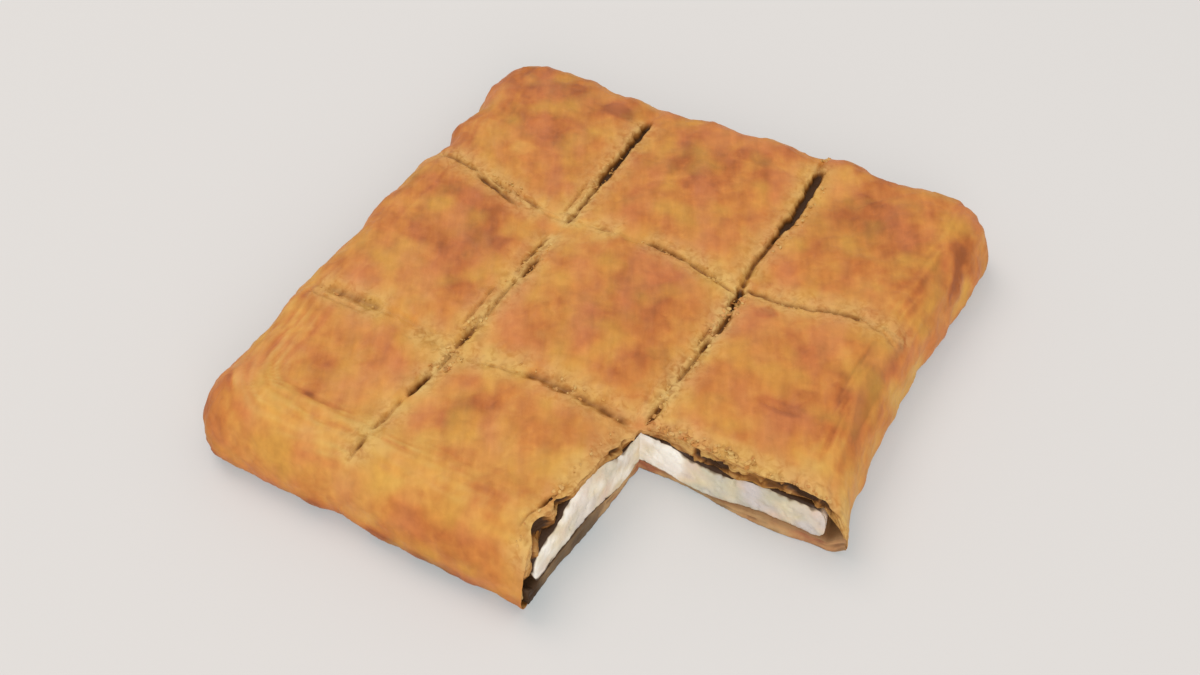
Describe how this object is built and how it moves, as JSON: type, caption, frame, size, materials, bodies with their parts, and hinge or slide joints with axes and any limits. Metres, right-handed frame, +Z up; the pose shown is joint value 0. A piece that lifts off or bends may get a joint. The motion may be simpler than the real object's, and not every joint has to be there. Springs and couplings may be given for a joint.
{
  "type": "cheese pie",
  "caption": "Square family cheese pie of flaky pastry round a white cheese filling, scored into portions, with one corner portion lifted out.",
  "frame": {"origin": "bottom centre of the whole pie's bounding box, on the surface it lies on", "axes": "+Z up through the pie, +Y along its longer side, away from the cut corner, +X towards the side with the cut corner"},
  "size_m": [0.2447, 0.258, 0.0316],
  "materials": {
    "top_crust": "golden brown baked pastry, satin",
    "cheese_filling": "moist crumbly white cheese",
    "base_crust": "brown baked pastry, matt"
  },
  "bodies": {
    "root": {"base_crust": "base_crust", "cheese_filling": "cheese_filling", "top_crust": "top_crust"}
  },
  "joints": []
}
